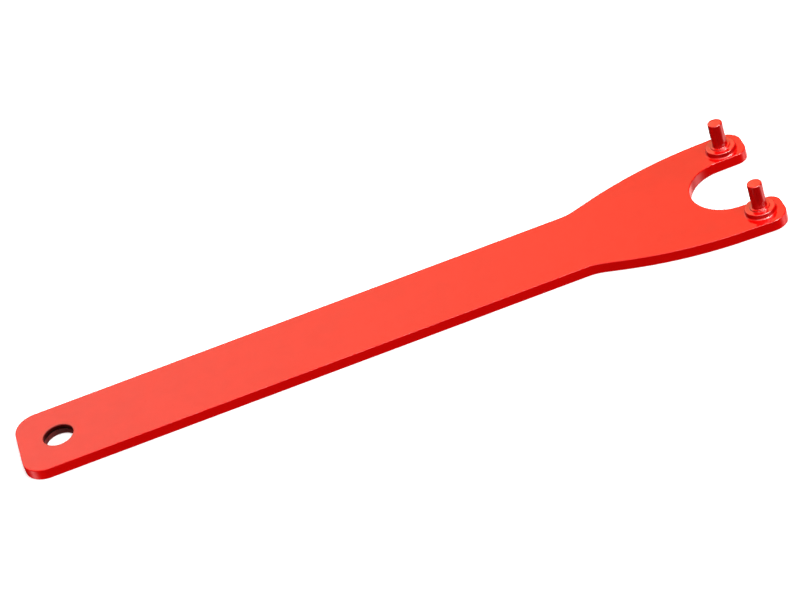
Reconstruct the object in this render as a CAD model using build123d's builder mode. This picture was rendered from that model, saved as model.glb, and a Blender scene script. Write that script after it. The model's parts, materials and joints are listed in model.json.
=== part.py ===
from build123d import *
import os

# A two-pin spanner for the lock nut of an angle grinder: a flat steel handle blanked from plate,
# forked at one end, with a shouldered drive pin riveted into each arm of the fork.
#
# Frame: +X runs from the handle end to the fork tips, +Y is to the left, and +Z is the way the
# drive pins point. The origin is on the plate's back face, under the middle of the whole tool.
# Lengths are in millimetres and angles in degrees. Sizes include the coat of enamel.

# Plate
overall_length = 228.5
plate_thickness = 3.35
handle_width = 27.5
handle_corner_radius = 6.8
front_edge_roll = 0.25
back_edge_break = 0.15

# Flare of the plate from the handle out to the fork
handle_straight_length = 169.7
neck_radius = 12.3
flare_angle = 21.5
flare_straight_length = 6.1
shoulder_radius = 108.0
cheek_angle = 2.1

# Throat between the fork's arms, and the arms' tips
throat_radius = 12.0
throat_centre_setback = 10.05
arm_angle = 0.7
tip_outer_radius = 5.05
tip_inner_radius = 3.8

# Hole to hang the tool by
hang_hole_diameter = 9.0
hang_hole_setback = 12.0
hang_hole_lip = 0.2

# Drive pins, each turned in one piece with its collar, its step and its rivet shank
pin_spacing = 35.0
pin_setback = 6.75
pin_diameter = 4.4
pin_height = 9.9
pin_tip_rounding = 0.25
pin_root_fillet = 0.2
step_diameter = 5.8
step_height = 0.35
step_edge_radius = 0.12
collar_diameter = 9.0
collar_height = 1.6
collar_edge_radius = 0.2

# Rivet: a shank through the plate, with a tail spun flat into a countersink in the back face
shank_diameter = 5.0
countersink_diameter = 7.2
countersink_angle = 90.0
tail_recess = 0.08
tail_edge_radius = 0.1

# Worked out from the above
handle_end_x = -overall_length / 2
tip_x = overall_length / 2
neck_x = handle_end_x + handle_straight_length
throat_x = tip_x - throat_centre_setback
hang_hole_x = handle_end_x + hang_hole_setback
pin_x = tip_x - pin_setback
collar_top_z = plate_thickness + collar_height
step_top_z = collar_top_z + step_height
pin_top_z = plate_thickness + pin_height
countersink_depth = (countersink_diameter - shank_diameter) / 2
tail_diameter = countersink_diameter - 2 * tail_recess
same_height = 0.01

# Each pin's place in the fork, seen from above with the fork pointing away
pin_sides = {"left": pin_spacing / 2, "right": -pin_spacing / 2}


def end_corners(sketch, end):
    """The sketch's corners on its lowest X (end 0) or highest X (end -1), from right to left."""
    return sketch.vertices().group_by(Axis.X)[end].sort_by(Axis.Y)


def rims_at(part, z):
    """The part's edges at height z that are whole circles, from the narrowest to the widest."""
    level = part.edges().filter_by_position(Axis.Z, z - same_height, z + same_height)
    return level.filter_by(lambda edge: edge.is_closed).sort_by(SortBy.RADIUS)


def build_plate():
    """The handle and fork, blanked in one piece, with its hang hole and two rivet holes."""
    with BuildPart() as plate:
        with BuildSketch() as outline:
            with BuildLine():
                # Left-hand side, from the handle end to the fork tip, in tangent lines and arcs
                side = Line((handle_end_x, handle_width / 2), (neck_x, handle_width / 2))
                neck = JernArc(side @ 1, side % 1, neck_radius, flare_angle)
                flare = PolarLine(neck @ 1, flare_straight_length, direction=neck % 1)
                shoulder = JernArc(flare @ 1, flare % 1, shoulder_radius, cheek_angle - flare_angle)
                cheek = PolarLine(
                    shoulder @ 1,
                    tip_x - (shoulder @ 1).X,
                    direction=shoulder % 1,
                    length_mode=LengthMode.HORIZONTAL,
                )
                # Inner side of the left-hand arm, from the throat's round end to the tip
                throat = CenterArc((throat_x, 0), throat_radius, 90 + arm_angle, 180 - 2 * arm_angle)
                arm = PolarLine(
                    throat @ 0,
                    tip_x - (throat @ 0).X,
                    arm_angle,
                    length_mode=LengthMode.HORIZONTAL,
                )
                tip = Line(arm @ 1, cheek @ 1)
                # Right-hand side, the mirror image, and the straight handle end that joins the two
                mirror([side, neck, flare, shoulder, cheek, arm, tip], about=Plane.XZ)
                Line((handle_end_x, -handle_width / 2), (handle_end_x, handle_width / 2))
            make_face()
            fillet(end_corners(outline, 0), handle_corner_radius)
            fillet(end_corners(outline, -1)[1:3], tip_inner_radius)
            fillet(end_corners(outline, -1)[0:4:3], tip_outer_radius)
        extrude(amount=plate_thickness)
        fillet(plate.edges().group_by(Axis.Z)[-1], front_edge_roll)
        fillet(plate.edges().group_by(Axis.Z)[0], back_edge_break)

        with Locations((hang_hole_x, 0, plate_thickness)):
            Hole(hang_hole_diameter / 2)
        fillet(rims_at(plate, 0) + rims_at(plate, plate_thickness), hang_hole_lip)

        back_face = Plane.XY.rotated((180, 0, 0))
        rivet_holes = [(pin_x, -side_y) for side_y in pin_sides.values()]
        with Locations(back_face):
            with Locations(*rivet_holes):
                CounterSinkHole(
                    shank_diameter / 2,
                    countersink_diameter / 2,
                    counter_sink_angle=countersink_angle,
                )
    return plate


def build_drive_pin(pin_y):
    """One drive pin where it stands in the fork: rivet tail, shank, collar, step and pin."""
    with BuildPart() as drive_pin:
        with BuildSketch(Plane.XZ) as profile:
            with BuildLine():
                Polyline(
                    (0, tail_recess),
                    (tail_diameter / 2, tail_recess),
                    (shank_diameter / 2, countersink_depth),
                    (shank_diameter / 2, plate_thickness),
                    (collar_diameter / 2, plate_thickness),
                    (collar_diameter / 2, collar_top_z),
                    (step_diameter / 2, collar_top_z),
                    (step_diameter / 2, step_top_z),
                    (pin_diameter / 2, step_top_z),
                    (pin_diameter / 2, pin_top_z),
                    (0, pin_top_z),
                    close=True,
                )
            make_face()
        revolve(axis=Axis.Z)
        fillet(rims_at(drive_pin, tail_recess), tail_edge_radius)
        fillet(rims_at(drive_pin, collar_top_z)[-1], collar_edge_radius)
        fillet(rims_at(drive_pin, step_top_z)[-1], step_edge_radius)
        fillet(rims_at(drive_pin, step_top_z)[0], pin_root_fillet)
        fillet(rims_at(drive_pin, pin_top_z), pin_tip_rounding)
    drive_pin.part = Pos(pin_x, pin_y, 0) * drive_pin.part
    return drive_pin


os.makedirs("parts", exist_ok=True)

wrench_plate = build_plate()
wrench_plate.part.label = "wrench_plate"
export_step(wrench_plate.part, "parts/wrench_plate.step")

for side_name, side_y in pin_sides.items():
    drive_pin = build_drive_pin(side_y)
    drive_pin.part.label = f"{side_name}_drive_pin"
    export_step(drive_pin.part, f"parts/{side_name}_drive_pin.step")
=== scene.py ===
import json
import math

import bpy
from mathutils import Matrix, Vector, noise


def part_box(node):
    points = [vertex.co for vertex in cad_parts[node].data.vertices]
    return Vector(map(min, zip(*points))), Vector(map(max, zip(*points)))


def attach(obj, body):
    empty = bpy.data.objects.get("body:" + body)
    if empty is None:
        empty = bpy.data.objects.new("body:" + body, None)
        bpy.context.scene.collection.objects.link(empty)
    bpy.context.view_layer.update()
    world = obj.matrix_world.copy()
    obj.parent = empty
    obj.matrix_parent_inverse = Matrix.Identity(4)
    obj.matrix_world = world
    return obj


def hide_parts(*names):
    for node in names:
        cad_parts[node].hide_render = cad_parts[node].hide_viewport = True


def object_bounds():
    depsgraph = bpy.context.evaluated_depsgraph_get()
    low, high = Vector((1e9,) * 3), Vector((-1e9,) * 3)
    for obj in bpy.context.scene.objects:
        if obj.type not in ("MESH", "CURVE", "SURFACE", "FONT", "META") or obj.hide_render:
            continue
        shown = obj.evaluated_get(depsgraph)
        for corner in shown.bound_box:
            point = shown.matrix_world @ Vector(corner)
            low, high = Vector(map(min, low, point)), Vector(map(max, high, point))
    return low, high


# A two-pin spanner lying on its back on a pale table, enamelled gloss red.
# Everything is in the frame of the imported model: metres, +X towards the fork, +Z up.

MM = 0.001

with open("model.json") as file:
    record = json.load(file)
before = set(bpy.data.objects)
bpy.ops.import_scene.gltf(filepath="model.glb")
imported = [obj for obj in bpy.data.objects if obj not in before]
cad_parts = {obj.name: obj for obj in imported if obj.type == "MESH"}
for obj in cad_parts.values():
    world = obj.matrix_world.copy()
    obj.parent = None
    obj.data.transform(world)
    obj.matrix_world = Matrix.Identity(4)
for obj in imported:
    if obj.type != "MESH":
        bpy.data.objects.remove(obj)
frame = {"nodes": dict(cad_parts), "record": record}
cad_low, cad_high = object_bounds()
scene = bpy.context.scene
nodes = frame["nodes"]
mounts = {mount["name"]: mount for mount in frame["record"]["mounts"]}

plate_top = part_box("wrench_plate")[1].z
hang_hole = Vector(mounts["hang_hole"]["pos_m"])
hang_hole_radius = mounts["hang_hole"]["dims"]["r_mm"] * MM
pin_radius = mounts["drive_pins"]["dims"]["stud_r_mm"] * MM


# ---------------------------------------------------------------- camera

def make_camera():
    """Seen from the front, from 36 degrees up, rolled so that the fork end is up on the right."""
    elevation = math.radians(35.616)
    azimuth = math.radians(3.329)
    roll = math.radians(18.545)
    distance = 0.9172
    aim = Vector((0.00133, 0.0, 0.0))
    rise = 0.00488
    turn = Matrix.Rotation(-azimuth, 3, "Z") @ Matrix.Rotation(math.pi / 2 - elevation, 3, "X")
    turn = turn @ Matrix.Rotation(-roll, 3, "Z")
    data = bpy.data.cameras.new("camera")
    data.sensor_width = 36.0
    data.lens = 143.22
    data.clip_start = 0.01
    data.clip_end = 50.0
    camera = bpy.data.objects.new("camera", data)
    camera.matrix_world = Matrix.Translation(aim + turn @ Vector((0.0, rise, distance))) @ turn.to_4x4()
    scene.collection.objects.link(camera)
    scene.camera = camera


# ---------------------------------------------------------------- light and table

def direction(azimuth, elevation):
    """A unit vector: azimuth from +X towards +Y, elevation above the table, in degrees."""
    a, e = math.radians(azimuth), math.radians(elevation)
    return Vector((math.cos(e) * math.cos(a), math.cos(e) * math.sin(a), math.sin(e)))


# What the gloss reflects: soft patches of light, each (azimuth, elevation, tightness, colour)
REFLECTED = (
    (93, 42, 9, (1.5, 1.22, 0.60)),     # warm wall behind
    (108, 35, 30, (0.8, 0.95, 1.20)),   # cool screen, behind on the left
    (-90, 68, 9, (4.2, 3.8, 3.6)),      # overhead, on the camera's side
    (-43, 52, 30, (26.0, 23.5, 22.0)),  # window, high on the right
    (-8, -36, 26, (3.6, 1.35, 1.30)),   # table on the right
    (45, -34, 16, (2.4, 1.05, 0.98)),   # table behind on the right
    (183, -35, 30, (2.2, 1.2, 1.2)),    # table on the left
)
AMBIENT = 0.012


def make_world():
    """The room round the tool. Only the gloss sees it, and the camera sees plain white."""
    world = bpy.data.worlds.new("studio")
    scene.world = world
    world.use_nodes = True
    tree = world.node_tree
    tree.nodes.clear()
    link = tree.links.new
    coordinate = tree.nodes.new("ShaderNodeTexCoord")
    base = tree.nodes.new("ShaderNodeRGB")
    base.outputs[0].default_value = (AMBIENT, AMBIENT, AMBIENT, 1.0)
    total = base.outputs[0]
    for azimuth, elevation, tightness, colour in REFLECTED:
        dot = tree.nodes.new("ShaderNodeVectorMath")
        dot.operation = "DOT_PRODUCT"
        dot.inputs[1].default_value = direction(azimuth, elevation)
        link(coordinate.outputs["Generated"], dot.inputs[0])
        clamp = tree.nodes.new("ShaderNodeMath")
        clamp.operation = "MAXIMUM"
        clamp.inputs[1].default_value = 0.0
        link(dot.outputs["Value"], clamp.inputs[0])
        power = tree.nodes.new("ShaderNodeMath")
        power.operation = "POWER"
        power.inputs[1].default_value = tightness
        link(clamp.outputs[0], power.inputs[0])
        scale = tree.nodes.new("ShaderNodeVectorMath")
        scale.operation = "SCALE"
        scale.inputs[0].default_value = colour
        link(power.outputs[0], scale.inputs["Scale"])
        add = tree.nodes.new("ShaderNodeVectorMath")
        link(total, add.inputs[0])
        link(scale.outputs[0], add.inputs[1])
        total = add.outputs[0]
    room = tree.nodes.new("ShaderNodeBackground")
    link(total, room.inputs["Color"])
    backdrop = tree.nodes.new("ShaderNodeBackground")
    backdrop.inputs["Color"].default_value = (1.0, 1.0, 1.0, 1.0)
    path = tree.nodes.new("ShaderNodeLightPath")
    mix = tree.nodes.new("ShaderNodeMixShader")
    link(path.outputs["Is Camera Ray"], mix.inputs[0])
    link(room.outputs[0], mix.inputs[1])
    link(backdrop.outputs[0], mix.inputs[2])
    out = tree.nodes.new("ShaderNodeOutputWorld")
    link(mix.outputs[0], out.inputs["Surface"])
    world.cycles_visibility.diffuse = False


# Soft lamps: name, where, diameter and watts
LAMPS = (
    ("overhead", Vector((0.09, -0.10, 0.52)), 0.40, 3.5),
    ("fill", 1.2 * direction(-62, 8), 0.40, 8.8),
    ("right", 1.2 * direction(-5, 8), 0.40, 5.5),
    ("left", Vector((-0.30, -0.05, 0.02)), 0.10, 0.40),
    ("bounce", Vector((0.0, 0.0, -0.5)), 0.80, 1.2),
)


def make_lamps():
    """The lamps light the colour under the gloss. What the gloss shows is the world's patches."""
    for name, place, diameter, watts in LAMPS:
        data = bpy.data.lights.new(name, "AREA")
        data.shape = "DISK"
        data.size = diameter
        data.energy = watts
        lamp = bpy.data.objects.new(name, data)
        lamp.location = place
        lamp.rotation_euler = (-place).to_track_quat("-Z", "Y").to_euler()
        lamp.visible_camera = False
        lamp.visible_glossy = False
        scene.collection.objects.link(lamp)


def make_table():
    """A plain white table top, clear from below so that the tool's back can be seen."""
    half_side = 6.0
    gap_under_tool = 0.2 * MM
    mesh = bpy.data.meshes.new("table_top")
    corners = [(x * half_side, y * half_side, 0) for x, y in ((-1, -1), (1, -1), (1, 1), (-1, 1))]
    mesh.from_pydata(corners, [], [(0, 1, 2, 3)])
    table = bpy.data.objects.new("table_top", mesh)
    table.location.z = cad_low.z - gap_under_tool
    scene.collection.objects.link(table)
    material = bpy.data.materials.new("table_white")
    material.use_nodes = True
    tree = material.node_tree
    tree.nodes.clear()
    link = tree.links.new
    matt = tree.nodes.new("ShaderNodeBsdfDiffuse")
    matt.inputs["Color"].default_value = (0.9, 0.9, 0.9, 1.0)
    glow = tree.nodes.new("ShaderNodeEmission")
    glow.inputs["Strength"].default_value = 0.6
    lit = tree.nodes.new("ShaderNodeAddShader")
    link(matt.outputs[0], lit.inputs[0])
    link(glow.outputs[0], lit.inputs[1])
    clear = tree.nodes.new("ShaderNodeBsdfTransparent")
    facing = tree.nodes.new("ShaderNodeNewGeometry")
    mix = tree.nodes.new("ShaderNodeMixShader")
    link(facing.outputs["Backfacing"], mix.inputs[0])
    link(lit.outputs[0], mix.inputs[1])
    link(clear.outputs[0], mix.inputs[2])
    out = tree.nodes.new("ShaderNodeOutputMaterial")
    link(mix.outputs[0], out.inputs["Surface"])
    mesh.materials.append(material)
    table.visible_diffuse = False
    table.visible_glossy = False
    table.visible_shadow = False


# ---------------------------------------------------------------- enamel

class Nodes:
    """Short ways to add the shader nodes that the finishes are made of."""

    def __init__(self, material):
        material.use_nodes = True
        self.tree = material.node_tree
        self.shader = self.tree.nodes["Principled BSDF"]
        self.place = self.add("ShaderNodeTexCoord").outputs["Object"]

    def add(self, kind, **settings):
        node = self.tree.nodes.new(kind)
        for name, value in settings.items():
            setattr(node, name, value)
        return node

    def put(self, value, socket):
        if isinstance(value, bpy.types.NodeSocket):
            self.tree.links.new(value, socket)
        else:
            socket.default_value = value

    def math(self, operation, *values):
        node = self.add("ShaderNodeMath", operation=operation)
        for value, socket in zip(values, node.inputs):
            self.put(value, socket)
        return node.outputs[0]

    def noise(self, size, detail=2.0, roughness=0.5):
        """Noise from 0 to 1 whose lumps are about that size across."""
        node = self.add("ShaderNodeTexNoise")
        node.inputs["Scale"].default_value = 1.0 / size
        node.inputs["Detail"].default_value = detail
        node.inputs["Roughness"].default_value = roughness
        self.put(self.place, node.inputs["Vector"])
        return node.outputs["Fac"]

    def ramp(self, value, start, end, low=0.0, high=1.0):
        """low below start, high above end, and a smooth turn between them."""
        node = self.add("ShaderNodeMapRange", interpolation_type="SMOOTHSTEP")
        for name, number in (("From Min", start), ("From Max", end), ("To Min", low), ("To Max", high)):
            node.inputs[name].default_value = number
        self.put(value, node.inputs["Value"])
        return node.outputs["Result"]

    def mix(self, amount, first, second):
        """The first colour where amount is 0, and the second where it is 1."""
        node = self.add("ShaderNodeMix", data_type="RGBA")
        self.put(amount, node.inputs["Factor"])
        for name, value in (("A", first), ("B", second)):
            socket = [s for s in node.inputs if s.name == name and s.type == "RGBA"][0]
            self.put(value if isinstance(value, bpy.types.NodeSocket) else (*value, 1.0), socket)
        return [s for s in node.outputs if s.type == "RGBA"][0]

    def part(self, vector, axis):
        """A vector's X, Y or Z."""
        node = self.add("ShaderNodeSeparateXYZ")
        self.put(vector, node.inputs[0])
        return node.outputs[axis]

    def distance_from_axis(self, centre):
        """How far a point is from an upright axis through centre."""
        shift = self.add("ShaderNodeVectorMath", operation="SUBTRACT")
        self.put(self.place, shift.inputs[0])
        shift.inputs[1].default_value = centre
        flat = self.add("ShaderNodeVectorMath", operation="MULTIPLY")
        self.put(shift.outputs[0], flat.inputs[0])
        flat.inputs[1].default_value = (1.0, 1.0, 0.0)
        length = self.add("ShaderNodeVectorMath", operation="LENGTH")
        self.put(flat.outputs[0], length.inputs[0])
        return length.outputs["Value"]

    def bump(self, height, distance, after=None):
        """A normal tilted by a height from 0 to 1 that stands for 0 to distance."""
        node = self.add("ShaderNodeBump")
        node.inputs["Distance"].default_value = distance
        node.inputs["Strength"].default_value = 1.0
        self.put(height, node.inputs["Height"])
        if after:
            self.put(after, node.inputs["Normal"])
        return node.outputs["Normal"]


ENAMEL = (0.80, 0.0020, 0.0012)
ENAMEL_DEEP = (0.765, 0.0014, 0.0010)
ENAMEL_MOTTLE = (0.76, 0.0013, 0.0010)
# The red painted on upright walls and edge rolls as shade
PAINTED_SHADE_ON_WALLS = (0.20, 0.001, 0.001)
# Painted shade with a paler painted sheen, in a ring round the hang hole
PAINTED_SHADE_ROUND_HOLE = (0.60, 0.022, 0.014)
# The red painted on the hang hole's rim lip as shade
PAINTED_SHADE_ON_LIP = (0.10, 0.001, 0.001)


def enamel(name, wall_shade_share, specular=0.5, shade_round_hole=False):
    """Gloss red stove enamel: a faint orange peel, slow changes of depth, and a few specks of dust.
    Upright walls and edge rolls get a painted shade, by the share the second argument gives; round the hang
    hole it can get a painted shade with a paler painted sheen, and a painted shade on the rim's lip."""
    material = bpy.data.materials.new(name)
    n = Nodes(material)
    depth = n.ramp(n.noise(9 * MM, detail=4.0, roughness=0.6), 0.35, 0.7)
    mottle = n.ramp(n.noise(1.3 * MM, detail=3.0), 0.52, 0.72, 0.0, 0.35)
    colour = n.mix(depth, ENAMEL, ENAMEL_DEEP)
    colour = n.mix(mottle, colour, ENAMEL_MOTTLE)
    gloss = n.ramp(n.noise(3.0 * MM, detail=5.0, roughness=0.65), 0.3, 0.75, 0.09, 0.15)
    peel = n.noise(1.6 * MM, detail=1.5)
    sag = n.noise(7.0 * MM, detail=1.0)
    dust = n.ramp(n.noise(0.55 * MM, detail=0.0), 0.77, 0.83)
    normal = n.bump(sag, 0.05 * MM)
    normal = n.bump(peel, 0.012 * MM, after=normal)
    normal = n.bump(dust, 0.02 * MM, after=normal)
    if shade_round_hole:
        reach = n.distance_from_axis(hang_hole)
        rim = hang_hole_radius + 0.1 * MM
        hole_shade_width, lip_width = 1.5 * MM, 0.12 * MM
        # Painted shade and painted sheen: a ring round the hang hole is less red and paler
        hole_shade = n.ramp(reach, rim, rim + hole_shade_width, 0.5, 0.0)
        lip = n.ramp(reach, rim, rim + lip_width, 1.0, 0.0)
        colour = n.mix(hole_shade, colour, PAINTED_SHADE_ROUND_HOLE)
        # Painted shade on the rim's lip, where it turns down into the hole
        colour = n.mix(n.math("MULTIPLY", lip, 0.9), colour, PAINTED_SHADE_ON_LIP)
        gloss = n.math("ADD", gloss, n.math("MULTIPLY", lip, 0.6))
    facing_up = n.part(n.add("ShaderNodeNewGeometry").outputs["Normal"], "Z")
    # Painted shade: walls and the lower part of edge rolls, by their normal, get a darker red as if in shade
    colour = n.mix(n.ramp(facing_up, 0.4, 0.92, wall_shade_share, 0.0), colour, PAINTED_SHADE_ON_WALLS)
    n.put(colour, n.shader.inputs["Base Color"])
    n.put(gloss, n.shader.inputs["Roughness"])
    n.put(normal, n.shader.inputs["Normal"])
    n.shader.inputs["Specular IOR Level"].default_value = specular
    return material


# The scale on the hang hole's wall, and the enamel dusted over it, each at its darkest and lightest, both
# painted darker still as the shade inside the hole
SCALE = ((0.004, 0.0008, 0.0006), (0.022, 0.004, 0.003))
DUSTING_IN_SHADE = ((0.020, 0.0006, 0.0005), (0.070, 0.0016, 0.0012))


def bore_scale_and_shade(name):
    """The punched wall of the hang hole: black scale below, a thin dusting of enamel higher up, both partly
    real and partly painted shade.
    """
    material = bpy.data.materials.new(name)
    n = Nodes(material)
    dusting_from, dusting_to = 2.55 * MM, 3.05 * MM
    raggedness = n.math("MULTIPLY", n.noise(1.0 * MM, detail=4.0), 0.9 * MM)
    ragged_height = n.math("ADD", n.part(n.place, "Z"), raggedness)
    # Painted shade: the scale and the dusted enamel are given near-black colours for the shade inside the
    # hole
    scale = n.mix(n.noise(0.5 * MM, detail=3.0), *SCALE)
    dusted_in_shade = n.mix(n.noise(0.7 * MM, detail=3.0), *DUSTING_IN_SHADE)
    colour = n.mix(n.ramp(ragged_height, dusting_from, dusting_to), scale, dusted_in_shade)
    n.put(colour, n.shader.inputs["Base Color"])
    n.put(n.ramp(n.noise(0.6 * MM, detail=3.0), 0.3, 0.7, 0.35, 0.6), n.shader.inputs["Roughness"])
    n.put(n.bump(n.noise(0.35 * MM, detail=3.0), 0.03 * MM), n.shader.inputs["Normal"])
    n.shader.inputs["Specular IOR Level"].default_value = 0.02
    return material


# ---------------------------------------------------------------- turned pieces

COLLAR_RADIUS = 4.5 * MM
COLLAR_HEIGHT = 1.6 * MM
STEP_RADIUS = 2.9 * MM
STEP_HEIGHT = 0.35 * MM
SHANK_RADIUS = 2.5 * MM
TAIL_RADIUS = 3.52 * MM
TAIL_RECESS = 0.08 * MM
COUNTERSINK_DEPTH = 1.1 * MM
ROUND_STEPS = 128

# The tail's spun face, dished in the middle: (radius from the axis, height)
TAIL_DISH = ((0.0, 0.34), (0.6, 0.33), (1.2, 0.27), (1.8, 0.17), (2.3, 0.10))
TAIL_FLAT = (2.8, 3.2)


def arc(centre, radius, start, end, steps=8):
    """Points (radius from the axis, height) on an arc, with its angles in degrees."""
    angles = [math.radians(start + (end - start) * i / steps) for i in range(steps + 1)]
    return [(centre[0] + radius * math.cos(a), centre[1] + radius * math.sin(a)) for a in angles]


def run(start, end, steps):
    """Evenly spaced points from start up to but not including end."""
    return [tuple(s + (e - s) * i / steps for s, e in zip(start, end)) for i in range(steps)]


def pin_profile(top):
    """The half section of a drive pin, from the tail's centre to the tip's centre."""
    collar_top = plate_top + COLLAR_HEIGHT
    step_top = collar_top + STEP_HEIGHT
    bead, collar_roll, step_fillet, step_roll = 0.28 * MM, 0.30 * MM, 0.12 * MM, 0.15 * MM
    root, tip_roll, crown = 0.18 * MM, 0.33 * MM, 0.05 * MM
    tail_roll = 0.10 * MM
    sunk = 0.05 * MM
    points = [(radius * MM, height * MM) for radius, height in TAIL_DISH]
    points += [(radius * MM, TAIL_RECESS) for radius in TAIL_FLAT]
    points += arc((TAIL_RADIUS - tail_roll, TAIL_RECESS + tail_roll), tail_roll, -90, 0)
    points += run((TAIL_RADIUS, TAIL_RECESS + 1.5 * tail_roll), (SHANK_RADIUS, COUNTERSINK_DEPTH), 4)
    points += run((SHANK_RADIUS, COUNTERSINK_DEPTH), (SHANK_RADIUS, plate_top - sunk), 3)
    points += [(SHANK_RADIUS, plate_top - sunk), (COLLAR_RADIUS + bead, plate_top - sunk)]
    points += arc((COLLAR_RADIUS + bead, plate_top + bead), bead, -90, -180)
    points += arc((COLLAR_RADIUS - collar_roll, collar_top - collar_roll), collar_roll, 0, 90)
    points += run((COLLAR_RADIUS - 1.2 * collar_roll, collar_top), (STEP_RADIUS + step_fillet, collar_top), 5)
    points += arc((STEP_RADIUS + step_fillet, collar_top + step_fillet), step_fillet, -90, -180, 5)[:-1]
    points += arc((STEP_RADIUS - step_roll, step_top - step_roll), step_roll, 0, 90, 5)
    points += arc((pin_radius + root, step_top + root), root, -90, -180, 6)
    points += run((pin_radius, step_top + 1.5 * root), (pin_radius, top - crown - tip_roll), 26)
    points += arc((pin_radius - tip_roll, top - crown - tip_roll), tip_roll, 0, 78, 9)
    points += [((pin_radius - tip_roll) * s, top - crown * s * s) for s in (0.95, 0.8, 0.6, 0.4, 0.2, 0.0)]
    return points


TOUCHING = 0.01 * MM
TORN_HEIGHT = 1.9 * MM
TORN_BLEND = 0.2 * MM


def wave(point, size, seed):
    """Smooth noise from -1 to 1 whose lumps are about that size across."""
    return noise.noise(point / size + Vector((seed, 0.0, 0.0)))


def enamel_swell(point, radius, seed):
    """How far the enamel of a pin stands out from the axis, and up, from the turned shape at a point:
    not at all in the plate, unevenly along the bead, and a little everywhere else."""
    if point.z < plate_top - TOUCHING:
        return 0.0, 0.0
    if radius > COLLAR_RADIUS + TOUCHING:
        return (0.04 + 0.10 * wave(point, 2.4 * MM, seed)) * MM, 0.0
    out = (0.035 * wave(point, 1.9 * MM, seed) + 0.012 * wave(point, 0.7 * MM, seed)) * MM
    return out, 0.03 * (wave(point, 1.5 * MM, seed + 9.0) - 1.0) * MM


def hole_wear(point, radius, seed):
    """How far the wall of a punched hole is torn outwards at a point: only in its lower band."""
    if radius >= hang_hole_radius:
        return 0.0, 0.0
    torn_top = TORN_HEIGHT + 0.25 * MM * wave(point, 2.0 * MM, seed)
    torn = max(0.0, min(1.0, (torn_top - point.z) / TORN_BLEND))
    rough = 0.035 * wave(point, 0.45 * MM, seed) + 0.02 * wave(point, 0.2 * MM, seed)
    return (torn * (0.03 + rough)) * MM, 0.0


def turn_profile(name, profile, centre, seed, swell, ring=False):
    """A closed body turned from a half section about an upright axis, then made uneven by swell.
    The section runs from axis to axis, or right round for a ring."""
    inner = profile if ring else profile[1:-1]
    axis = Vector((centre[0], centre[1], 0.0))
    vertices, faces = [], []
    for radius, height in inner:
        for i in range(ROUND_STEPS):
            angle = 2 * math.pi * i / ROUND_STEPS
            out = Vector((math.cos(angle), math.sin(angle), 0.0))
            point = axis + out * radius + Vector((0.0, 0.0, height))
            outward, upward = swell(point, radius, seed)
            vertices.append(point + out * outward + Vector((0.0, 0.0, upward)))
    rows = len(inner)
    for row in range(rows if ring else rows - 1):
        low, high = row * ROUND_STEPS, (row + 1) % rows * ROUND_STEPS
        for i in range(ROUND_STEPS):
            j = (i + 1) % ROUND_STEPS
            faces.append((low + i, low + j, high + j, high + i))
    if not ring:
        vertices += [axis + Vector((0.0, 0.0, profile[0][1])), axis + Vector((0.0, 0.0, profile[-1][1]))]
        bottom, top, last = len(vertices) - 2, len(vertices) - 1, (rows - 1) * ROUND_STEPS
        for i in range(ROUND_STEPS):
            j = (i + 1) % ROUND_STEPS
            faces += [(bottom, j, i), (last + i, last + j, top)]
    mesh = bpy.data.meshes.new(name)
    mesh.from_pydata([tuple(v) for v in vertices], [], faces)
    mesh.validate()
    mesh.polygons.foreach_set("use_smooth", [True] * len(mesh.polygons))
    piece = bpy.data.objects.new(name, mesh)
    scene.collection.objects.link(piece)
    return piece


def make_pin(side, seed, material):
    """The pin as turned and enamelled, in place of its CAD node."""
    node = f"{side}_drive_pin"
    low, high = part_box(node)
    centre = ((low.x + high.x) / 2, (low.y + high.y) / 2)
    pin = turn_profile(f"{side}_turned_pin", pin_profile(high.z), centre, seed, enamel_swell)
    pin.data.materials.append(material)
    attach(pin, "root")
    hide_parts(node)


def make_hole_wall():
    """The punched wall of the hang hole, with its smooth sheared band over its torn band."""
    deep, proud = hang_hole_radius + 0.12 * MM, hang_hole_radius - 0.035 * MM
    draft, from_rim = 0.02 * MM, 0.24 * MM
    low, high = from_rim, plate_top - from_rim
    face = run((proud + draft, low), (proud, high), 30)
    section = [(deep, low)] + face + [(proud, high), (deep, high)]
    wall = turn_profile("hang_hole_wall", section, hang_hole, 5.0, hole_wear, ring=True)
    wall.data.materials.append(bore_scale_and_shade("bore_scale_and_shade"))
    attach(wall, "root")


# ---------------------------------------------------------------- put together

make_camera()
make_world()
make_lamps()
make_table()
scene.view_settings.view_transform = "Standard"

plate = nodes["wrench_plate"]
plate.data.materials.clear()
plate.data.materials.append(enamel("plate_enamel", 0.27, shade_round_hole=True))

pin_enamel = enamel("pin_enamel", 0.70, specular=0.95)
make_pin("left", 11.0, pin_enamel)
make_pin("right", 47.0, pin_enamel)
make_hole_wall()
